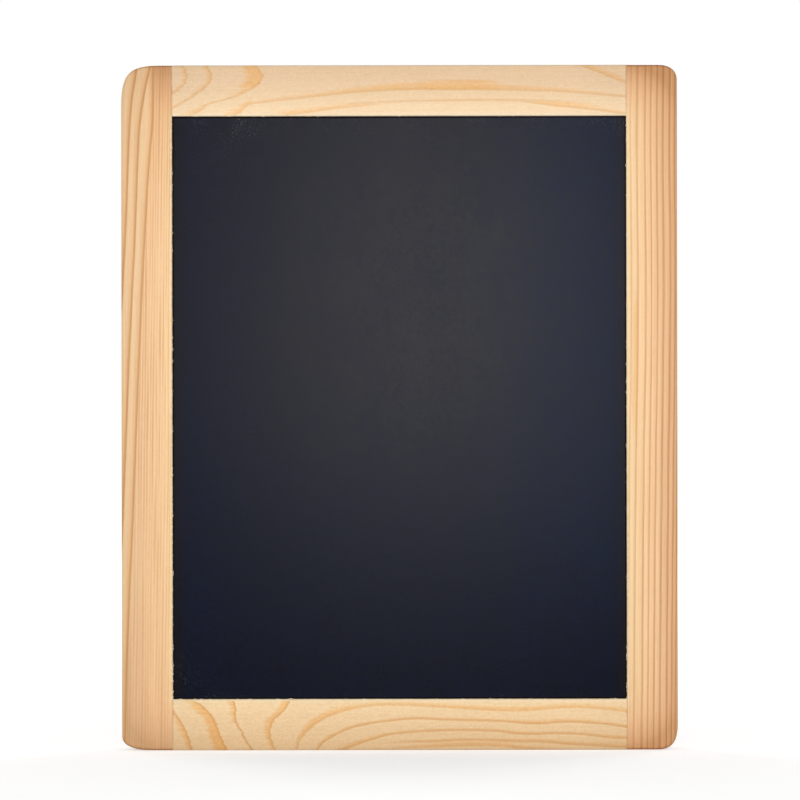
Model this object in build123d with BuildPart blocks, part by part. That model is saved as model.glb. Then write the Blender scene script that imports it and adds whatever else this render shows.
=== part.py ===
from build123d import *
import os

# A slate writing board: a sheet of slate held in a grooved softwood frame. It stands upright on its
# bottom edge and faces -Y, with its origin in the middle of that edge, half way through its thickness.
# Two stiles run the full height. Two rails fit between them, with tenons that pass through open slots
# in the ends of the stiles. A groove of the same width runs along every inner edge and holds the slate,
# which can be written on from both sides. All sizes are in millimetres.

# Frame
BOARD_WIDTH = 203.0
BOARD_HEIGHT = 250.0
FRAME_THICKNESS = 10.0
STILE_WIDTH = 18.5
RAIL_WIDTH = 18.5

# Slate and the groove that holds it
SLATE_THICKNESS = 3.0
SLATE_BEVEL = 0.5
GROOVE_DEPTH = 5.0
FACE_PLAY = 0.2
SIDE_PLAY = 0.5
TOP_PLAY = 1.0

# Glue on each face of a tenon
GLUE_LINE = 0.05

# Corners sanded round by hand after the glue has set: reach across the board, reach along the stile, and
# fullness, the share of each reach that lies between the curve's end and its control point
TOP_LEFT_CORNER = (14.0, 15.0, 0.80)
TOP_RIGHT_CORNER = (6.6, 5.4, 0.61)
BOTTOM_LEFT_CORNER = (11.3, 5.2, 0.65)
BOTTOM_RIGHT_CORNER = (7.8, 9.5, 0.73)

# Eased edges
STILE_EDGE_ROUND = 1.2
RAIL_EDGE_ROUND = 0.5
LIP_EASE = 0.3

# Sizes that follow from those above
half_width = BOARD_WIDTH / 2
opening_width = BOARD_WIDTH - 2 * STILE_WIDTH
opening_height = BOARD_HEIGHT - 2 * RAIL_WIDTH
groove_width = SLATE_THICKNESS + 2 * FACE_PLAY
slot_depth = RAIL_WIDTH - GROOVE_DEPTH
tenon_thickness = groove_width - 2 * GLUE_LINE
tenon_width = slot_depth - GLUE_LINE
slate_width = opening_width + 2 * (GROOVE_DEPTH - SIDE_PLAY)
slate_height = opening_height + 2 * GROOVE_DEPTH - TOP_PLAY
slate_bottom = slot_depth

# Seen from the front: x to the right, y up, and the normal towards the writer
FRONT = Plane.XZ

os.makedirs("parts", exist_ok=True)

# Outline of the whole board, with a Bezier curve at each corner, anticlockwise from lower right
left, right, bottom, top = -half_width, half_width, 0.0, BOARD_HEIGHT
corners = [
    (right, -1, bottom, 1, BOTTOM_RIGHT_CORNER),
    (right, -1, top, -1, TOP_RIGHT_CORNER),
    (left, 1, top, -1, TOP_LEFT_CORNER),
    (left, 1, bottom, 1, BOTTOM_LEFT_CORNER),
]
with BuildSketch() as outline:
    with BuildLine():
        curves = []
        for number, (x, x_inward, y, y_inward, (across, along, fullness)) in enumerate(corners):
            tip = Vector(x, y)
            ends = [Vector(x + x_inward * across, y), Vector(x, y + y_inward * along)]
            start, end = ends if number % 2 == 0 else ends[::-1]
            controls = [start + (tip - start) * fullness, end + (tip - end) * fullness]
            curves.append(Bezier(start, *controls, end))
        for curve, next_curve in zip(curves, curves[1:] + curves[:1]):
            Line(curve @ 1, next_curve @ 0)
    make_face()

# What sandpaper takes off the four lips round the slate, at the front and at the back
with BuildPart() as lip_easing:
    with BuildSketch(FRONT.offset(FRAME_THICKNESS / 2)):
        with Locations((0, BOARD_HEIGHT / 2)):
            Rectangle(opening_width + 2 * LIP_EASE, opening_height + 2 * LIP_EASE)
    extrude(amount=-LIP_EASE, taper=45)
    mirror(about=FRONT)

# Stiles: rounded outside, sharp where the rails meet them, with the groove and the two open slots
for name, outer, inward in (("left_stile", left, 1), ("right_stile", right, -1)):
    middle = outer + inward * STILE_WIDTH / 2
    with BuildPart() as stile:
        with BuildSketch(FRONT):
            add(outline.sketch)
            with Locations((middle, BOARD_HEIGHT / 2)):
                Rectangle(STILE_WIDTH, BOARD_HEIGHT, mode=Mode.INTERSECT)
        extrude(amount=FRAME_THICKNESS / 2, both=True)
        face_edges = stile.faces().filter_by(Axis.Y).edges()
        all_but_lips = face_edges.sort_by(Axis((0, 0, 0), (inward, 0, 0)))[:-2]
        fillet(all_but_lips, STILE_EDGE_ROUND)
        with BuildSketch(FRONT):
            with Locations((outer + inward * (STILE_WIDTH - GROOVE_DEPTH / 2), BOARD_HEIGHT / 2)):
                Rectangle(GROOVE_DEPTH, BOARD_HEIGHT)
            with Locations((middle, slot_depth / 2), (middle, BOARD_HEIGHT - slot_depth / 2)):
                Rectangle(STILE_WIDTH, slot_depth)
        extrude(amount=groove_width / 2, both=True, mode=Mode.SUBTRACT)
        add(lip_easing.part, mode=Mode.SUBTRACT)
    stile.part.label = name
    export_step(stile.part, f"parts/{name}.step")

# Rails: square shoulders against the stiles, the groove, and a tenon right through each stile
for name, outer, inward in (("bottom_rail", bottom, 1), ("top_rail", top, -1)):
    with BuildPart() as rail:
        with BuildSketch(FRONT):
            with Locations((0, outer + inward * RAIL_WIDTH / 2)):
                Rectangle(opening_width, RAIL_WIDTH)
        extrude(amount=FRAME_THICKNESS / 2, both=True)
        long_edges = rail.faces().filter_by(Axis.Y).edges().filter_by(Axis.X)
        outer_edges = long_edges.sort_by(Axis((0, 0, 0), (0, 0, inward)))[:2]
        fillet(outer_edges, RAIL_EDGE_ROUND)
        with BuildSketch(FRONT):
            with Locations((0, outer + inward * (RAIL_WIDTH - GROOVE_DEPTH / 2))):
                Rectangle(opening_width, GROOVE_DEPTH)
        extrude(amount=groove_width / 2, both=True, mode=Mode.SUBTRACT)
        with BuildSketch(FRONT):
            add(outline.sketch)
            with Locations((0, outer + inward * tenon_width / 2)):
                Rectangle(BOARD_WIDTH, tenon_width, mode=Mode.INTERSECT)
        extrude(amount=tenon_thickness / 2, both=True)
        add(lip_easing.part, mode=Mode.SUBTRACT)
    rail.part.label = name
    export_step(rail.part, f"parts/{name}.step")

# Slate: stands on the floor of the bottom groove, with room at the sides and the top
with BuildPart() as slate_panel:
    with BuildSketch(FRONT):
        with Locations((0, slate_bottom + slate_height / 2)):
            Rectangle(slate_width, slate_height)
    extrude(amount=SLATE_THICKNESS / 2, both=True)
    chamfer(slate_panel.faces().filter_by(Axis.Y).edges(), SLATE_BEVEL)
slate_panel.part.label = "slate_panel"
export_step(slate_panel.part, "parts/slate_panel.step")
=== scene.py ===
import math

import bpy
import numpy as np
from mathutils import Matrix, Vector


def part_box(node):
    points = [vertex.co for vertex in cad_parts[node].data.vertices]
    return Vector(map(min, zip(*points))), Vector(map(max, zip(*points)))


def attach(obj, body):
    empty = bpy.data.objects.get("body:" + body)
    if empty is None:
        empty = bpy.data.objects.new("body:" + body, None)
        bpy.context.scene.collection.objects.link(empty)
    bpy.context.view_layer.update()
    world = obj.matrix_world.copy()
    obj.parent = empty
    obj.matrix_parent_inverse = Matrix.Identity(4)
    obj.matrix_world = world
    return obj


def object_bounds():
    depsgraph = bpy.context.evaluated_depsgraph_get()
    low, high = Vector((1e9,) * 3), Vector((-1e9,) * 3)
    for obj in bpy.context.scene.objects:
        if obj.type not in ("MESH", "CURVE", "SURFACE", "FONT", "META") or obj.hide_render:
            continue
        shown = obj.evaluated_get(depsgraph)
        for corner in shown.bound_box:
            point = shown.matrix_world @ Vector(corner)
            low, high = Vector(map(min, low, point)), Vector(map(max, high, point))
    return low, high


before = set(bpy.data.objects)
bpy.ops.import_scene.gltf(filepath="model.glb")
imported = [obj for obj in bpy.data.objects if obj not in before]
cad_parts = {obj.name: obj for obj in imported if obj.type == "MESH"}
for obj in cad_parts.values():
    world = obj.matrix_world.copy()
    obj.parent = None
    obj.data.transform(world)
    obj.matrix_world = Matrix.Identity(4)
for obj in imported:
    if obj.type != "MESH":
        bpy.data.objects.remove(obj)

cad_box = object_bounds()

# Sizes are in millimetres, and MM turns one into Blender's metres
MM = 0.001

# The opening that the slate fills, and the four members round it, read from the frame
LIP_X = -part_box("left_stile")[1].x / MM
LIP_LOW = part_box("bottom_rail")[1].z / MM
LIP_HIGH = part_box("top_rail")[0].z / MM
BOARD_HEIGHT = cad_box[1].z / MM
BOARD_HALF = cad_box[1].x / MM
FACE = cad_box[0].y / MM
MEMBER_WIDTH = BOARD_HALF - LIP_X
STILE_MIDDLE = LIP_X + MEMBER_WIDTH / 2
BOTTOM_RAIL_MIDDLE = LIP_LOW / 2
TOP_RAIL_MIDDLE = (LIP_HIGH + BOARD_HEIGHT) / 2

# Growth rings of the flat-sawn rails. Each has the strength of its dark line and then stations. Hooks cross
# the rail: height from the rail's centre line, place along it, and width of the orange wash before the
# ring's end. Runs go along the rail: place along it, height, and width of the wash.
TOP_RAIL_HOOKS = (
    (0.6, (-3, -88, 1.4), (1, -80, 1.5), (5, -77.5, 2), (9, -79, 1.8)),
    (0.6, (-9, -88, 1.2), (-5.6, -81.5, 1.3), (-2, -75.2, 1.6), (1, -71.2, 2), (4.5, -68.6, 2.4),
     (9, -70, 2)),
    (0.5, (-9, -76.7, 2.4), (-7, -72.2, 2.6), (-5.6, -71, 1.6), (-2.4, -60.8, 1.2), (0.2, -55.2, 2.2),
     (1.6, -52.4, 4), (5, -50, 7), (7, -50.8, 6), (9, -52.4, 4.5)),
)
TOP_RAIL_RUNS = (
    (0.5, (64, 10, 1.5), (68, 8.5, 2.2), (74, 6.2, 2.6), (83, 2.7, 1.5)),
    (0.5, (-66, -11, 0), (-62, -9.5, 2.6), (-57, -7, 2.6), (-55, -5, 2.2), (-52, -4.4, 1.5), (-36, -2.6, 1.6),
     (-14, -0.4, 2.4), (5, 0.6, 3.4), (22, 0.5, 4.1), (30, 0.5, 3.9), (40, 0.3, 2.6), (57, -0.2, 1.9),
     (83, -2.4, 1)),
    (0.5, (-50, -10.4, 1.6), (-46, -9.7, 2), (-35, -8.1, 2.2), (-20, -6, 2), (-12, -5.3, 1.2), (-6, -4.9, 0)),
    (0.6, (-20, -4.9, 0), (-12, -4.5, 0.8), (5, -3.8, 0.8), (42, -3.5, 0.9), (57, -4, 0.6), (69, -4.5, 0)),
    (0.6, (40, -3.7, 0), (48, -4.3, 1.2), (52, -4.9, 2.5), (57, -5.5, 2.7), (67, -6.5, 2.3), (77, -7.8, 1.9),
     (83, -8.8, 1.8)),
    (0.5, (-20, -13, 1.8), (15, -10.4, 1.8), (60, -12, 1.8), (83, -15, 1.8)),
)
BOTTOM_RAIL_HOOKS = (
    (0.9, (-9, -76, 2.4), (-2.3, -78.2, 2.8), (3.6, -81.7, 2), (9, -86, 1.8)),
    (0.75, (-9, -63.2, 4.4), (-4, -65.8, 4.6), (1.2, -67.7, 4), (6.4, -71.7, 3.4), (9, -75.6, 2.6)),
    (1.0, (-9, -53.9, 1.6), (-5, -56.5, 1.2), (-2.4, -57.7, 1.2), (2.2, -60, 2.2), (7, -60.2, 2.8),
     (9, -61, 3)),
    (0.75, (-9, -45.5, 1.8), (-3, -47.5, 2.8), (-0.6, -47.3, 3.2), (6, -41.9, 3.2), (9, -40.3, 3)),
)
BOTTOM_RAIL_RUNS = (
    (0.4, (-30, 12.5, 1.8), (10, 11, 1.6), (83, 10, 1.6)),
    (0.4, (-41, -22, 0.8), (-38, -10, 1.2), (-37, -5.8, 1.5), (-35.8, -4, 2), (-33.4, -1.4, 2.6),
     (-27.4, 2.7, 2.8), (-20, 5.4, 2.4), (-11, 7.1, 1.7), (-3, 7.5, 1.6), (12, 6.8, 1.7), (44, 5.3, 2.2),
     (60, 6.4, 1.9), (66, 6.4, 1.8), (83, 4.8, 2)),
    (0.85, (-30, -8.6, 1.8), (-23.4, -3.5, 1.6), (-14, -0.1, 1.4), (-1, 1.8, 1.5), (7, 2.3, 1.5),
     (15, 1.9, 1.5), (36, 1.3, 1.5), (51, 0.4, 1.8), (60, 1, 1.8), (72, 0.4, 1.7), (83, -1, 1.8)),
    (0.75, (-19, -8.4, 2), (-7, -4.3, 1.5), (-3, -3.4, 1.3), (12, -2.2, 1.4), (24, -2, 1.3), (34, -2.3, 1.5),
     (47, -3.4, 1.8), (58, -3.2, 1.4), (68, -3.7, 1.4), (78, -4.8, 1.6), (83, -5, 1.7)),
    (0.6, (-8, -7.5, 0), (0, -6.2, 0.3), (13, -6, 1.2), (24, -5.5, 1.3), (42, -6, 1.4), (52, -6.2, 1.4),
     (61, -7, 1.5), (83, -8.2, 1.6)),
    (0.3, (-4, -8.4, 0), (6, -8, 1), (14, -7.7, 1.5), (27, -7.3, 1.8), (46, -8.5, 1.5), (60, -9.6, 1.5)),
)

# Grain of the stiles, as heights up the board and places across the stile from its centre line. The right
# stile's lines all lean alike, and each of the left stile's three bold lines has its own course.
RIGHT_STILE_LEAN = (
    (0, -1.4), (40, -1.0), (91, -0.5), (115, -0.2), (142, 0.25), (175, 0.45), (215, 0.2), (237, 0.3),
    (250, 0.5),
)
LEFT_STILE_LINES = (
    ((120, -10.9), (171, -8.4), (193, -7.3), (217, -6.4), (234, -5.4), (244, -4.0), (250, -3.0)),
    ((60, -9.6), (91, -8.3), (142, -6.3), (193, -3.8), (217, -2.9), (227, -2.3), (237, -1.0), (250, 1.8)),
    ((0, -8.1), (25, -7.5), (45, -6.8), (91, -4.7), (142, -2.7), (193, -0.2), (217, 1.4), (234, 2.6),
     (250, 2.6)),
)
# Lines of the right stile: place across, width of the line, and the strengths of the line and its wash
RIGHT_STILE_LINES = (
    (-10.3, 0.6, 0.35, 0.1), (-7.85, 0.6, 0.5, 0.1), (-5.5, 0.65, 0.8, 0.25), (-2.6, 0.7, 0.9, 0.2),
    (-0.5, 0.6, 0.9, 0.2), (1.7, 0.6, 1.05, 0.2), (4.0, 0.9, 0.95, 0.25), (6.4, 0.8, 1.2, 0.25),
    (8.2, 0.85, 1.1, 0.3), (9.6, 0.7, 1.1, 0.25), (11.2, 0.7, 1.1, 0.25),
)
# How far a growth ring's dark line runs on past the ring's end in the stiles
OVERRUN = 0.3
# How far a fibre's shade carries in red, green and blue
FIBRE_REACH = (0.6, 0.85, 1.3)


def paint(red, green, blue):
    """A colour as 0 to 255 screen levels, turned into the linear values that shaders take."""
    levels = np.array((red, green, blue)) / 255
    linear = np.where(levels <= 0.04045, levels / 12.92, ((levels + 0.055) / 1.055) ** 2.4)
    return (*linear.tolist(), 1.0)


class Field:
    """A value that changes over a surface, held as a node's output. Arithmetic on it adds Math nodes."""

    def __init__(self, bench, socket):
        self.bench = bench
        self.socket = socket

    def __add__(self, other):
        return self.bench.math("ADD", self, other)

    def __sub__(self, other):
        return self.bench.math("SUBTRACT", self, other)

    def __rsub__(self, other):
        return self.bench.math("SUBTRACT", other, self)

    def __mul__(self, other):
        return self.bench.math("MULTIPLY", self, other)

    def __truediv__(self, other):
        return self.bench.math("DIVIDE", self, other)

    def __abs__(self):
        return self.bench.math("ABSOLUTE", self)

    __radd__ = __add__
    __rmul__ = __mul__

    def above(self, floor):
        """The larger of this and another value."""
        return self.bench.math("MAXIMUM", self, floor)

    def below(self, ceiling):
        """The smaller of this and another value."""
        return self.bench.math("MINIMUM", self, ceiling)

    def step(self, low, high):
        """0 below low, 1 above high, and a smooth ramp between. Low may be the larger of the two."""
        given = {"Value": self, "From Min": low, "From Max": high}
        return self.bench.add("MapRange", given, interpolation_type="SMOOTHSTEP").out("Result")


class Placed:
    """A node already in its tree, whose outputs are read by name."""

    def __init__(self, bench, node):
        self.bench = bench
        self.node = node

    def out(self, name):
        """One output, as a Field."""
        return Field(self.bench, self.node.outputs[name])


class Bench:
    """A node tree being wired up. What it is given is linked if it is a Field, and otherwise set."""

    def __init__(self, tree):
        self.tree = tree

    def put(self, socket, value):
        """Links or sets one input."""
        if isinstance(value, Field):
            self.tree.links.new(value.socket, socket)
        else:
            socket.default_value = value

    def add(self, kind, given=None, **options):
        """Adds a shader node with its inputs by name and its own options."""
        node = self.tree.nodes.new("ShaderNode" + kind)
        for option, value in options.items():
            setattr(node, option, value)
        for name, value in (given or {}).items():
            self.put(node.inputs[name], value)
        return Placed(self, node)

    def math(self, operation, *values):
        """One Math node."""
        node = self.tree.nodes.new("ShaderNodeMath")
        node.operation = operation
        for socket, value in zip(node.inputs, values):
            self.put(socket, value)
        return Field(self, node.outputs[0])

    def join(self, x, y, z):
        """Three values as one vector."""
        return self.add("CombineXYZ", {"X": x, "Y": y, "Z": z}).out("Vector")

    def split(self, vector):
        """One vector as three values."""
        parts = self.add("SeparateXYZ", {"Vector": vector})
        return parts.out("X"), parts.out("Y"), parts.out("Z")

    def noise(self, vector, detail=2.0, roughness=0.5):
        """Soft noise about 0, from about -0.5 to 0.5, one grain per unit of the vector."""
        given = {"Vector": vector, "Scale": 1.0, "Detail": detail, "Roughness": roughness}
        return self.add("TexNoise", given).out("Fac") - 0.5

    def mix(self, share, first, second, blend="MIX"):
        """Two colours mixed, or multiplied, by a share of the second."""
        node = self.add("Mix", data_type="RGBA", blend_type=blend)
        for number, value in ((0, share), (6, first), (7, second)):
            self.put(node.node.inputs[number], value)
        return Field(self, node.node.outputs[2])

    def shade(self, colour, amount, reach=(1.0, 1.0, 1.0)):
        """A colour made lighter or darker by a value about 0, times its reach in red, green and blue."""
        factors = self.join(*(amount * share + 1.0 for share in reach))
        return self.mix(1.0, colour, factors, "MULTIPLY")

    def curve(self, place, stations):
        """A smooth curve through given stations of (place, value)."""
        places, values = np.array(stations, float).T
        low, span = values.min(), max(np.ptp(values), 1e-6)
        first, reach = places[0], np.ptp(places)
        node = self.add("FloatCurve", {"Value": (place - first) / reach})
        line = node.node.mapping.curves[0]
        ends = (0, len(places) - 1)
        for number, (at, value) in enumerate(zip((places - first) / reach, (values - low) / span)):
            if number in ends:
                line.points[0 if number == 0 else -1].location = (at, value)
            else:
                line.points.new(at, value)
        node.node.mapping.update()
        return node.out("Value") * span + low

    def ramp(self, place, stops):
        """Colours that follow each other: each stop is a place in mm and a colour."""
        reach = stops[-1][0]
        node = self.add("ValToRGB", {"Fac": place / reach})
        elements = node.node.color_ramp.elements
        while len(elements) < len(stops):
            elements.new(0.5)
        for element, (at, colour) in zip(elements, stops):
            element.position = at / reach
            element.color = colour
        return node.out("Color")

    def place(self):
        """Object coordinates in millimetres."""
        metres = self.add("TexCoord").out("Object")
        given = {0: metres, 3: 1 / MM}
        return Field(self, self.add("VectorMath", given, operation="SCALE").node.outputs[0])

    def group(self, group, given):
        """Places a node group with its inputs by name."""
        node = self.tree.nodes.new("ShaderNodeGroup")
        node.node_tree = group
        for name, value in given.items():
            self.put(node.inputs[name], value)
        return Placed(self, node)


def new_group(name, inputs, outputs):
    """An empty shader node group: its bench, its inputs as Fields, and its output node."""
    tree = bpy.data.node_groups.new(name, "ShaderNodeTree")
    for side, sockets in (("INPUT", inputs), ("OUTPUT", outputs)):
        for label, kind in sockets.items():
            tree.interface.new_socket(name=label, in_out=side, socket_type="NodeSocket" + kind)
    bench = Bench(tree)
    entry = Placed(bench, tree.nodes.new("NodeGroupInput"))
    exit_node = tree.nodes.new("NodeGroupOutput")
    fields = {label: entry.out(label) for label in inputs}
    return bench, fields, exit_node


def make_latewood():
    """Node group: the latewood that ends a growth ring. Left is the distance to the ring's end in mm, above 0
    before it. Wash fades to 0 at the wash width before the end, and is full over a share of that width,
    which is larger in a wide wash. Line does so within its own width, and both stop within the overrun.
    A wash of no width gets the least one, which is too thin to show."""
    least_wash = 0.01
    full_share_per_mm, most_full_share, line_full_share = 0.12, 0.55, 0.2
    inputs = {"Left": "Float", "Wash Width": "Float", "Line Width": "Float", "Overrun": "Float"}
    bench, given, leave = new_group("latewood", inputs, {"Wash": "Float", "Line": "Float"})
    left = given["Left"]
    stop = left.step(given["Overrun"] * -1.0, given["Overrun"] * -0.15)
    wide, narrow = given["Wash Width"].above(least_wash), given["Line Width"]
    full = wide * (wide * full_share_per_mm).below(most_full_share)
    bench.put(leave.inputs["Wash"], left.step(wide, full) * stop)
    bench.put(leave.inputs["Line"], left.step(narrow, narrow * line_full_share) * stop)
    return bench.tree


def make_wood_fibre():
    """Node group: fine fibres drawn out along the grain. Grain is (across, depth, along) in mm. Streak is
    long fibres, Dash short ones and Speckle a mottle, all about 0. Fleck is short dark resin ducts and
    Height the relief."""
    outputs = {"Streak": "Float", "Dash": "Float", "Speckle": "Float", "Fleck": "Float", "Height": "Float"}
    bench, given, leave = new_group("wood_fibre", {"Grain": "Vector"}, outputs)
    across, depth, along = bench.split(given["Grain"])

    def drawn_out(per_mm, along_per_mm, detail):
        return bench.noise(bench.join(across * per_mm, depth * per_mm, along * along_per_mm), detail, 0.6)

    streak = drawn_out(2.1, 0.03, 1.0)
    fine = drawn_out(6.0, 0.1, 2.0)
    bench.put(leave.inputs["Streak"], streak + drawn_out(0.5, 0.012, 2.0) * 0.6)
    bench.put(leave.inputs["Dash"], drawn_out(2.8, 0.3, 2.0))
    bench.put(leave.inputs["Speckle"], drawn_out(1.9, 1.5, 2.0))
    bench.put(leave.inputs["Fleck"], drawn_out(3.2, 0.22, 1.0).step(0.17, 0.27))
    bench.put(leave.inputs["Height"], fine + streak * 0.6)
    return bench.tree


def make_frame_tone():
    """Node group: how a place on the frame lies to the opening. Away is the distance from the lip in mm. End
    falls from 1 at the board's top, and from the foot share at its bottom, by half each 16 mm. Lip is 1
    on the arris round the opening, front and back, and fades over the face and down the wall. It places
    the pale arris, which is partly fresh-cut wood and partly a painted highlight."""
    fall_per_mm = 0.042
    arris_over, arris_down = (0.75, 0.2), (1.0, 0.4)
    inputs = {"Place": "Vector", "Foot Share": "Float"}
    outputs = {"Away": "Float", "End": "Float", "Lip": "Float"}
    bench, given, leave = new_group("frame_tone", inputs, outputs)
    x, y, z = bench.split(given["Place"])
    beside = (abs(x) - LIP_X).above(0.0)
    middle = (LIP_LOW + LIP_HIGH) / 2
    beyond = (abs(z - middle) - (LIP_HIGH - LIP_LOW) / 2).above(0.0)
    away = bench.math("SQRT", beside * beside + beyond * beyond)
    down = abs(y) * -1.0 - FACE
    top_end = bench.math("EXPONENT", (BOARD_HEIGHT - z) * -fall_per_mm)
    foot_end = bench.math("EXPONENT", z * -fall_per_mm) * given["Foot Share"]
    bench.put(leave.inputs["Away"], away.below(MEMBER_WIDTH))
    bench.put(leave.inputs["End"], top_end.above(foot_end))
    bench.put(leave.inputs["Lip"], away.step(*arris_over) * down.step(*arris_down))
    return bench.tree


latewood = make_latewood()
wood_fibre = make_wood_fibre()
frame_tone = make_frame_tone()


def new_material(name):
    """A material with one Principled BSDF: the material, its bench and the shader node."""
    material = bpy.data.materials.new(name)
    material.use_nodes = True
    return material, Bench(material.node_tree), material.node_tree.nodes["Principled BSDF"]


def ring_left(bench, number, per_mm):
    """From a ring number and the rings per mm: the distance in mm to the ring's end, and which ring it is.
    The ring counts on by the overrun, so the distance goes below 0 before the next ring takes over."""
    late = number - per_mm * OVERRUN
    left = (1 - bench.math("FRACT", late)) / per_mm - OVERRUN
    return left, bench.math("FLOOR", late) + 1.0


def ring_end(bench, place, stations):
    """One ring's end from its stations: the course it takes at a place, how much longer a step along it is
    than a step of the place, and the width of its wash."""
    places, course, width = np.array(stations, float).T
    slope = bench.curve(place, list(zip(places, np.gradient(course, places))))
    stretch = bench.math("SQRT", slope * slope + 1.0)
    taken = bench.curve(place, list(zip(places, course)))
    return taken, stretch, bench.curve(place, list(zip(places, width)))


def rail_rings(middle, hooks, runs, fray):
    """Rings of a flat-sawn rail. The distance to a ring's end is measured along the rail from a hook's course
    and up it from a run's, and divided by the stretch, so that it is square to the course. A wide wash is
    also a strong one, a faint line is a soft one, and a line fades where its wash is under 1 mm wide.
    Depth carries the pattern along and down, the fibres fray the hooks by some mm, and streaks along the
    grain widen and narrow the washes."""
    shift_in, sink_in = 1.5, 0.5
    line_width, line_middle = 0.9, 0.1
    least_wash_share, wash_share_per_mm = 0.3, 0.17
    faint_overrun, overrun_per_share = 0.9, 0.6

    def rings(bench, x, y, z):
        depth = y - FACE
        frayed = bench.noise(bench.join(x * 0.05, y * 1.0, z * 1.0), 2.0, 0.6)
        ripple = bench.noise(bench.join(x * 0.07, y * 0.07, z * 0.2), 2.0)
        streaks = bench.noise(bench.join(x * 0.035, y * 1.3, z * 1.3), 2.0, 0.6)
        along = x - depth * shift_in + frayed * fray
        up = z - middle + depth * sink_in + ripple * 0.2
        wash, line = 0.0, 0.0
        for crosses, (share, *stations) in [(True, row) for row in hooks] + [(False, row) for row in runs]:
            course, stretch, width = ring_end(bench, up if crosses else along, stations)
            width = width * (streaks * 0.9 + 1.0)
            left = (course - along if crosses else up - course) / stretch + line_middle
            overrun = faint_overrun - share * overrun_per_share
            made = bench.group(latewood, {
                "Left": left, "Wash Width": width, "Line Width": line_width, "Overrun": overrun,
            })
            wash_share = (width * wash_share_per_mm + least_wash_share).below(1.0)
            wash = (made.out("Wash") * wash_share).above(wash)
            line = (made.out("Line") * width.below(1.0) * share).above(line)
        return wash, line, None

    return rings


def right_stile_rings(bench, x, y, z):
    """Rings of the right stile, sawn across the rings: lines at set places across it, leaning a little, and
    an ochre pool on one of them half way up. Depth carries the lines across."""
    ochre_line, ochre_height, ochre_half = 2, 142, 34
    rings_per_mm, shift_in = 0.45, 0.35
    across = x - STILE_MIDDLE - bench.curve(z, RIGHT_STILE_LEAN) + (y - FACE) * shift_in
    wave = bench.noise(bench.join(x * 0.1, y * 0.1, z * 0.04), 2.0) * 0.4
    number = bench.curve(across + wave, [(row[0], count) for count, row in enumerate(RIGHT_STILE_LINES)])
    left, ring = ring_left(bench, number, rings_per_mm)
    width, line_share, wash_share = (
        bench.curve(ring, [(count, row[column]) for count, row in enumerate(RIGHT_STILE_LINES)])
        for column in (1, 2, 3)
    )
    ochre = abs(z - ochre_height).step(ochre_half, ochre_half * 0.4) * abs(ring - ochre_line).step(0.6, 0.4)
    luck = bench.noise(bench.join(ring * 3.7, 0.0, z * 0.02), 1.0) * 0.8 + 1.0
    made = bench.group(latewood, {
        "Left": left, "Wash Width": ochre * 0.9 + 1.5, "Line Width": width, "Overrun": OVERRUN,
    })
    return made.out("Wash") * (wash_share + ochre * 0.7), made.out("Line") * line_share * luck, None


def left_stile_rings(bench, x, y, z):
    """Rings of the left stile: three bold lines on slanting courses, and heartwood beyond the last of them,
    where fine lines lie close together. Depth carries the lines across."""
    heart_slope, heart_spacing, heart_edge = 0.012, 1.05, 0.35
    shift_in = 0.4
    across = x + STILE_MIDDLE + (y - FACE) * shift_in
    wave = bench.noise(bench.join(x * 0.1, y * 0.1, z * 0.04), 2.0) * 0.4
    washes, lines = [], []
    for course in LEFT_STILE_LINES:
        left = bench.curve(z, course) - across + wave
        made = bench.group(latewood, {"Left": left, "Wash Width": 2.3, "Line Width": 1.0, "Overrun": OVERRUN})
        washes.append(made.out("Wash"))
        lines.append(made.out("Line"))
    # Left is still the distance to the last bold line here, and heartwood starts past that line
    heart = left.step(0.0, -heart_edge)
    inside = across - z * heart_slope
    jostle = bench.noise(bench.join(inside * 0.5, y * 0.5, z * 0.012), 1.0)
    left, ring = ring_left(bench, (inside + jostle * 1.3) / heart_spacing, 1 / heart_spacing)
    luck = bench.noise(bench.join(ring * 3.7, 0.0, z * 0.025), 1.0).step(-0.35, 0.35)
    made = bench.group(latewood, {"Left": left, "Wash Width": 0.8, "Line Width": 0.45, "Overrun": OVERRUN})
    apart = bench.noise(bench.join(inside * 1.2, y * 1.2, z * 0.008), 2.0).step(0.02, 0.25)
    wash = sum(washes) + heart * apart * 0.25
    line = sum(lines) + heart * made.out("Line") * luck * (z.step(10.0, 170.0) * 0.5 + 0.6)
    return wash, line, heart


# The pale arris round the opening: partly fresh-cut wood, partly a painted highlight where the edge catches
# light
ARRIS_CREAM_AND_HIGHLIGHT = paint(255, 240, 208)
# Tints that multiply the wood's colour: its resin ducts, and the joint at a rail's shoulder
DUCT_TINT = (0.78, 0.66, 0.5, 1)
JOINT_TINT = (0.4, 0.3, 0.22, 1)
# How far out from its middle a rail starts to darken
RAIL_END_STARTS = 58.0


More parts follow.
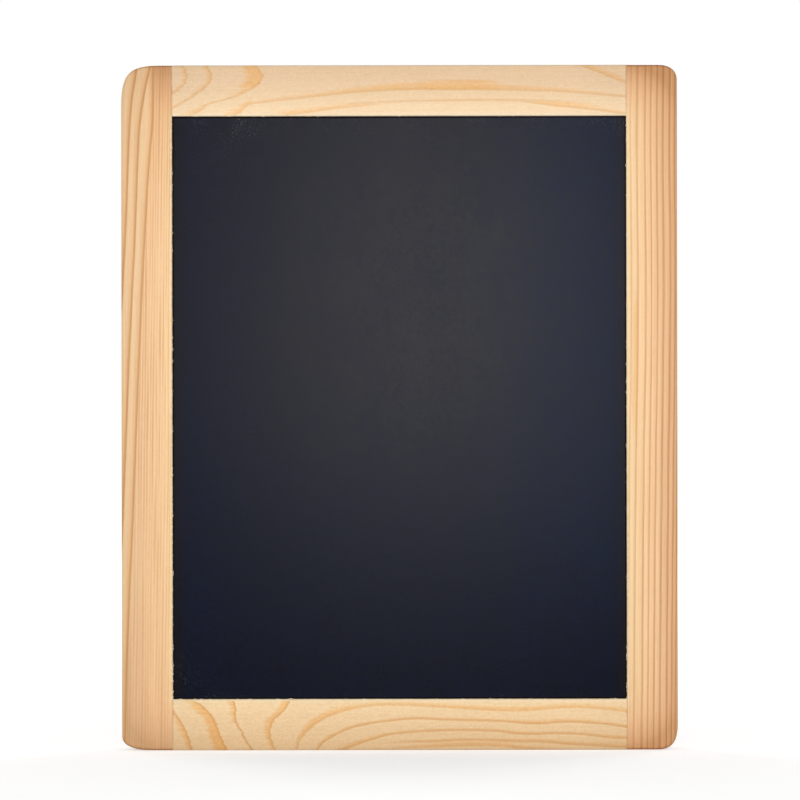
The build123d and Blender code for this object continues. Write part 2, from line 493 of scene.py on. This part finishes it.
def pine(name, grain_axis, rings, tones):
    """Planed, unvarnished pine. Rings and fibres run in depth, so faces, edges and ends agree. It is palest
    beside the slate, browner towards the stiles' ends, a little darker towards the rails' ends, and dark on
    end grain and along the rails' shoulders, where the joints are."""
    is_rail = grain_axis == "X"
    material, bench, shader = new_material(name)
    place = bench.place()
    x, y, z = bench.split(place)
    wash, line, heart = rings(bench, x, y, z)
    grain = bench.join(z, y, x) if is_rail else bench.join(x, y, z)
    fibre = bench.group(wood_fibre, {"Grain": grain})
    tone = bench.group(frame_tone, {"Place": place, "Foot Share": tones.get("foot", 1.0)})

    colour = bench.ramp(tone.out("Away"), tones["early"])
    if heart is not None:
        colour = bench.mix(heart, colour, bench.ramp(tone.out("Away"), tones["heart"]))
    if not is_rail:
        end = tones["end"] if heart is None else bench.mix(heart, tones["end"], tones["heart end"])
        colour = bench.mix(tone.out("End"), colour, end, "MULTIPLY")
    colour = bench.mix(wash, colour, tones["wash"], "MULTIPLY")
    colour = bench.mix(line, colour, tones["line"], "MULTIPLY")
    mottle = sum(fibre.out(label) * tones[label.lower()] for label in ("Streak", "Dash", "Speckle"))
    colour = bench.shade(colour, mottle, FIBRE_REACH)
    colour = bench.mix(fibre.out("Fleck") * 0.22, colour, DUCT_TINT, "MULTIPLY")
    ragged = bench.noise(bench.join(x * 0.9, y * 0.9, z * 0.9), 2.0, 0.6).step(-0.25, 0.15)
    # Pale arris round the opening: partly fresh-cut wood, partly a painted highlight on the edge
    colour = bench.mix(tone.out("Lip") * ragged * tones["lip"], colour, ARRIS_CREAM_AND_HIGHLIGHT)

    normal = bench.add("NewGeometry").out("Normal")
    facing = abs(bench.split(normal)[0 if is_rail else 2])
    colour = bench.mix(facing.step(0.35, 0.95), colour, tones["end grain"], "MULTIPLY")
    if is_rail:
        out = abs(x)
        gap = bench.noise(bench.join(x * 0.2, y * 0.5, z * 0.25), 2.0).step(-0.2, 0.3)
        shoulder = out.step(LIP_X - 0.45, LIP_X - 0.05) * out.step(LIP_X + 0.6, LIP_X + 0.2)
        colour = bench.shade(colour, out.step(RAIL_END_STARTS, LIP_X) * -0.05)
        colour = bench.mix(shoulder * (gap * 0.5 + 0.3), colour, JOINT_TINT, "MULTIPLY")
    bench.put(shader.inputs["Base Color"], colour)

    shader.inputs["Specular IOR Level"].default_value = 0.25
    bench.put(shader.inputs["Roughness"], line * -0.1 + fibre.out("Height") * 0.15 + 0.66)
    height = fibre.out("Height") * 0.6 + line * 0.2
    bump = bench.add("Bump", {"Height": height, "Strength": 0.25, "Distance": 0.06 * MM})
    bench.put(shader.inputs["Normal"], bump.out("Normal"))
    return material


def ground_slate():
    """Dark blue-black slate, ground flat and rubbed: a broad soft sheen, fine mineral grain, bluer low down
    and in bands up its sides, faint grinding streaks, brown along the stiles, a painted dark shade and
    dullness under the lips, and pale writing dust near the lips, most of it along the top and in the two
    left corners. Each pair of mm is where an effect starts and where it is full."""
    blue_right, blue_left, blue_rise, blue_low = (15.0, 75.0), (-35.0, -75.0), (25.0, 95.0), (150.0, 70.0)
    dust_lip, dust_top, dust_corner, dust_foot = (3.5, 0.5), (14.0, 1.0), (60.0, 20.0), (30.0, 5.0)
    dust_off_left = (1.0, 12.0)
    brown_edge, under_lip = (5.0, 1.0), (0.7, 0.25)
    material, bench, shader = new_material("ground_slate")
    place = bench.place()
    x, y, z = bench.split(place)
    grain = bench.noise(bench.join(x * 1.0, y * 1.0, z * 1.2), 0.0)
    bands = bench.noise(bench.join(x * 0.035, y * 0.05, z * 0.006), 2.0)
    streaks = bench.noise(bench.join(x * 0.03, y * 0.5, z * 1.1), 2.0)
    clouds = bench.noise(bench.join(x * 0.05, y * 0.05, z * 0.05), 3.0)

    sides = x.step(*blue_right) + x.step(*blue_left) * 0.25
    bluer = sides * z.step(*blue_rise) + bands * 0.6
    rubbed = bench.mix(z.step(*blue_low), paint(7, 7, 25), paint(0, 6, 28))
    colour = bench.mix(bluer.above(0.0), rubbed, paint(0, 13, 39))
    colour = bench.shade(colour, grain * 1.2 + streaks * 0.3 + clouds * 0.5)

    top = LIP_HIGH - z
    bottom = z - LIP_LOW
    beside = LIP_X - abs(x)
    lip = beside.below(top).below(bottom)
    from_left = (x + LIP_X).above(0.0)
    corner = from_left + top
    foot_corner = from_left + bottom
    near = lip.step(*dust_lip) * 0.25 + top.step(*dust_top) * 0.6 + corner.step(*dust_corner) * 0.35
    near = near * from_left.step(*dust_off_left) + foot_corner.step(*dust_foot) * 0.4
    drift = bench.noise(bench.join(x * 0.09, 0.0, z * 0.09), 3.0).step(-0.2, 0.25)
    powder = bench.noise(bench.join(x * 2.2, y * 2.2, z * 2.2), 1.0).step(0.0, 0.3)
    cells = bench.add("TexVoronoi", {"Vector": place, "Scale": 1.3}, feature="F1")
    speck = cells.out("Distance").step(0.42, 0.18)
    chosen = bench.add("SeparateColor", {"Color": cells.out("Color")}).out("Red").step(0.75, 1.0)
    dust = (powder * 0.5 + speck * chosen * 0.8) * near.below(1.0) * drift
    colour = bench.mix(beside.step(*brown_edge) * 0.5, colour, paint(16, 10, 10))
    colour = bench.mix(dust * 0.26, colour, paint(190, 190, 196))
    # Painted shade under the lips: the slate turns brown-black and dull there, standing in for the lips'
    # shadow
    painted_lip_shade = lip.step(*under_lip)
    colour = bench.mix(painted_lip_shade, colour, paint(16, 11, 8))
    bench.put(shader.inputs["Base Color"], colour)

    shader.inputs["Specular IOR Level"].default_value = 0.05
    roughness = grain * 0.05 + clouds * 0.03 + bands * 0.02 + 0.24
    bench.put(shader.inputs["Roughness"], roughness + dust * 0.2 + painted_lip_shade * 0.6)
    bump = bench.add("Bump", {"Height": grain + dust, "Strength": 0.19, "Distance": 0.02 * MM})
    bench.put(shader.inputs["Normal"], bump.out("Normal"))
    return material


def torn_fibre():
    """Freshly torn pine: paler than the planed faces and dull, in patches of cream and straw."""
    material, bench, shader = new_material("torn_fibre")
    x, y, z = bench.split(bench.place())
    patch = bench.noise(bench.join(x * 0.8, y * 0.8, z * 0.8), 1.0).step(-0.3, 0.3)
    bench.put(shader.inputs["Base Color"], bench.mix(patch, paint(255, 240, 212), paint(246, 216, 168)))
    shader.inputs["Roughness"].default_value = 0.85
    shader.inputs["Specular IOR Level"].default_value = 0.2
    return material


# Tones from the lip outwards: mm from the lip, and the colour there. The tones of the ends, washes, lines
# and end grain multiply it. Foot is how much of the end's tone reaches the foot of a stile, lip is how pale
# the arris is, partly as a painted highlight, and streak, dash and speckle are how strongly the fibres show.
TOP_RAIL_TONES = {
    "early": (
        (0, paint(255, 228, 192)), (2, paint(252, 221, 181)), (7.5, paint(243, 211, 171)),
        (14, paint(235, 202, 165)), (17, paint(231, 197, 157)), (18.5, paint(221, 193, 158)),
    ),
    "wash": (1.0, 0.83, 0.58, 1), "line": (0.88, 0.82, 0.77, 1), "end grain": (0.75, 0.62, 0.5, 1),
    "streak": 0.12, "dash": 0.26, "speckle": 0.26, "lip": 1.0,
}
BOTTOM_RAIL_TONES = {
    "early": (
        (0, paint(255, 227, 184)), (1.5, paint(255, 224, 177)), (6.2, paint(250, 216, 170)),
        (13, paint(238, 204, 158)), (17, paint(227, 192, 146)), (18.5, paint(216, 186, 146)),
    ),
    "wash": (0.97, 0.77, 0.51, 1), "line": (0.87, 0.77, 0.66, 1), "end grain": (0.75, 0.62, 0.5, 1),
    "streak": 0.12, "dash": 0.35, "speckle": 0.35, "lip": 1.0,
}
LEFT_STILE_TONES = {
    "early": (
        (0, paint(255, 216, 166)), (9, paint(247, 207, 160)), (12, paint(244, 206, 162)),
        (15, paint(242, 203, 157)), (18.5, paint(238, 201, 157)),
    ),
    "heart": (
        (0, paint(255, 217, 163)), (3, paint(255, 212, 163)), (8, paint(251, 206, 158)),
        (14, paint(240, 198, 153)), (18.5, paint(226, 186, 140)),
    ),
    "wash": (0.94, 0.85, 0.76, 1), "line": (0.79, 0.66, 0.52, 1), "end": (0.87, 0.83, 0.78, 1),
    "heart end": (0.74, 0.6, 0.5, 1), "end grain": (0.72, 0.58, 0.45, 1), "foot": 0.6,
    "streak": 0.26, "dash": 0.22, "speckle": 0.1, "lip": 0.9,
}
RIGHT_STILE_TONES = {
    "early": (
        (0, paint(255, 221, 173)), (3, paint(255, 217, 168)), (7, paint(255, 211, 164)),
        (11, paint(248, 203, 157)), (15, paint(238, 190, 144)), (18.5, paint(222, 172, 124)),
    ),
    "wash": (0.95, 0.84, 0.73, 1), "line": (0.76, 0.65, 0.54, 1), "end": (0.79, 0.7, 0.61, 1),
    "end grain": (0.72, 0.58, 0.45, 1), "foot": 0.7, "streak": 0.34, "dash": 0.2, "speckle": 0.1,
    "lip": 0.8,
}


def dress(node, material):
    """Gives a frame piece its finish."""
    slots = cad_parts[node].material_slots
    for slot in slots:
        slot.material = material
    if not slots:
        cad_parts[node].data.materials.append(material)


top_rail_rings = rail_rings(TOP_RAIL_MIDDLE, TOP_RAIL_HOOKS, TOP_RAIL_RUNS, 3.0)
bottom_rail_rings = rail_rings(BOTTOM_RAIL_MIDDLE, BOTTOM_RAIL_HOOKS, BOTTOM_RAIL_RUNS, 1.6)
dress("top_rail", pine("top_rail_pine", "X", top_rail_rings, TOP_RAIL_TONES))
dress("bottom_rail", pine("bottom_rail_pine", "X", bottom_rail_rings, BOTTOM_RAIL_TONES))
dress("left_stile", pine("left_stile_pine", "Z", left_stile_rings, LEFT_STILE_TONES))
dress("right_stile", pine("right_stile_pine", "Z", right_stile_rings, RIGHT_STILE_TONES))
dress("slate_panel", ground_slate())


def between(limits, share):
    """The value at a share of the way from the lower limit to the upper one."""
    low, high = limits
    return low + (high - low) * share


def lip_splinters(name, start, inward, length, count, crowd, material):
    """Fibres that the plane tore loose along one lip, each a three-sided sliver. At share k of its span the
    sliver stands off the wall by its height times a mix of sin(pi k), where both ends hold, and k to the
    power 1.5, where one is loose. Its radius falls with the square of the distance from its middle.
    Places along the lip are a random share to the power crowd, so they gather at its far end below 1."""
    stations, sides, root = 6, 3, 0.1
    spans, heights, radii, depths = (0.5, 1.9), (0.16, 0.58), (0.07, 0.15), (0.12, 0.72)
    front = np.array((0.0, -1.0, 0.0))
    inward = np.array(inward, float)
    along = np.cross(inward, front)
    draw = np.random.default_rng(count).random((7, count, 1))
    place = length * draw[0] ** crowd
    span = between(spans, draw[1] ** 2)
    height = between(heights, draw[2] ** 2)
    loose = draw[3]
    radius = between(radii, draw[5])
    depth = between(depths, draw[6])

    share = np.linspace(0, 1, stations)[None, :]
    loose_share = np.where(draw[4] < 0.5, share, 1 - share)
    lift = height * (loose * loose_share ** 1.5 + (1 - loose) * np.sin(np.pi * share)) - root
    thick = radius * (1 - 0.8 * (2 * share - 1) ** 2)
    middle = np.array((start[0], FACE, start[1])) + along * (place + span * (share - 0.5))[..., None]
    middle = middle + inward * lift[..., None] - front * (depth + 0 * share)[..., None]
    turn = 2 * np.pi * np.arange(sides) / sides
    around = np.cos(turn)[:, None] * inward + np.sin(turn)[:, None] * front
    points = middle[:, :, None, :] + thick[:, :, None, None] * around

    first = (np.arange(count) * stations * sides)[:, None, None]
    ring = (np.arange(stations - 1) * sides)[None, :, None]
    side = np.arange(sides)[None, None, :]
    here, there = first + ring + side, first + ring + (side + 1) % sides
    walls = np.stack((here, there, there + sides, here + sides), -1).reshape(-1, 4)
    caps = np.stack((
        first[:, 0] + np.array((2, 1, 0)),
        first[:, 0] + (stations - 1) * sides + np.array((0, 1, 2)),
    ), 1).reshape(-1, 3)

    mesh = bpy.data.meshes.new(name)
    mesh.from_pydata((points.reshape(-1, 3) * MM).tolist(), [], walls.tolist() + caps.tolist())
    mesh.materials.append(material)
    piece = bpy.data.objects.new(name, mesh)
    bpy.context.scene.collection.objects.link(piece)
    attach(piece, "root")


LIP_SPAN = LIP_HIGH - LIP_LOW
torn = torn_fibre()
lip_splinters("left_lip_splinters", (-LIP_X, LIP_HIGH), (1, 0, 0), LIP_SPAN, 140, 0.7, torn)
lip_splinters("right_lip_splinters", (LIP_X, LIP_LOW), (-1, 0, 0), LIP_SPAN, 60, 1.0, torn)
lip_splinters("bottom_lip_splinters", (-LIP_X, LIP_LOW), (0, 0, 1), 2 * LIP_X, 70, 1.0, torn)
lip_splinters("top_lip_splinters", (LIP_X, LIP_HIGH), (0, 0, -1), 2 * LIP_X, 24, 0.4, torn)


# The stage: floor, world, lamps and camera
def seen_rays(bench):
    """1 for rays that the camera follows, straight or by mirror or glass, and 0 for light that scatters."""
    path = bench.add("LightPath")
    return path.out("Is Camera Ray").above(path.out("Is Glossy Ray")).above(path.out("Is Transmission Ray"))


def make_world(ambient):
    """A white surround to look at, and a plain grey one for light."""
    world = bpy.data.worlds.new("studio")
    world.use_nodes = True
    bpy.context.scene.world = world
    bench = Bench(world.node_tree)
    back = world.node_tree.nodes["Background"]
    back.inputs["Color"].default_value = (1, 1, 1, 1)
    bench.put(back.inputs["Strength"], seen_rays(bench) * (1 - ambient) + ambient)


def make_floor(grey, near_glow, far_glow):
    """A pale floor that looks white and keeps the board's shadow. It glows a little for the eye alone, and
    more away from the board, where less of the lamps' light falls."""
    reach = 4000 * MM
    near_mm, far_mm = 400.0, 1400.0
    mesh = bpy.data.meshes.new("floor")
    corners = [(-reach, -reach, 0), (reach, -reach, 0), (reach, reach, 0), (-reach, reach, 0)]
    mesh.from_pydata(corners, [], [(0, 1, 2, 3)])
    floor = bpy.data.objects.new("floor", mesh)
    bpy.context.scene.collection.objects.link(floor)
    material, bench, shader = new_material("studio_floor")
    shader.inputs["Base Color"].default_value = (grey, grey, grey, 1)
    shader.inputs["Roughness"].default_value = 1.0
    shader.inputs["Specular IOR Level"].default_value = 0.0
    shader.inputs["Emission Color"].default_value = (1, 1, 1, 1)
    x, y, _ = bench.split(bench.place())
    away = bench.math("SQRT", x * x + y * y)
    glow = away.step(near_mm, far_mm) * (far_glow - near_glow) + near_glow
    bench.put(shader.inputs["Emission Strength"], seen_rays(bench) * glow)
    mesh.materials.append(material)


def softbox(name, place, width, height, watts):
    """A rectangular lamp in metres, facing the middle of the board."""
    lamp = bpy.data.lights.new(name, "AREA")
    lamp.shape = "RECTANGLE"
    lamp.size = width
    lamp.size_y = height
    lamp.energy = watts
    box = bpy.data.objects.new(name, lamp)
    box.location = place
    middle = Vector((0, 0, BOARD_HEIGHT / 2 * MM))
    box.rotation_euler = (middle - Vector(place)).to_track_quat("-Z", "Y").to_euler()
    bpy.context.scene.collection.objects.link(box)


make_world(ambient=0.5)
make_floor(grey=0.8, near_glow=0.47, far_glow=0.65)
softbox("front_softbox", (0.024, -1.6, 0.212), 0.23, 0.33, 5.9)
softbox("left_softbox", (-1.25, -1.2, 0.13), 0.8, 1.0, 7.4)
softbox("right_softbox", (1.25, -1.2, 0.13), 0.8, 1.0, 7.4)
softbox("back_left_softbox", (-1.1, 1.3, 0.6), 0.8, 1.0, 7.5)
softbox("back_right_softbox", (1.1, 1.3, 0.6), 0.8, 1.0, 7.5)

CAMERA_AWAY = 1500
VIEW_WIDTH = 291.95
CAMERA_ROLL = 0.0016
CAMERA_X = 0.2
CAMERA_Z = 127.76
SENSOR = 36.0
lens = bpy.data.cameras.new("camera")
lens.sensor_width = SENSOR
lens.lens = SENSOR * CAMERA_AWAY / VIEW_WIDTH
camera = bpy.data.objects.new("camera", lens)
camera.location = (CAMERA_X * MM, (FACE - CAMERA_AWAY) * MM, CAMERA_Z * MM)
camera.rotation_euler = (math.pi / 2, CAMERA_ROLL, 0)
bpy.context.scene.collection.objects.link(camera)
bpy.context.scene.camera = camera
bpy.context.scene.view_settings.view_transform = "Standard"
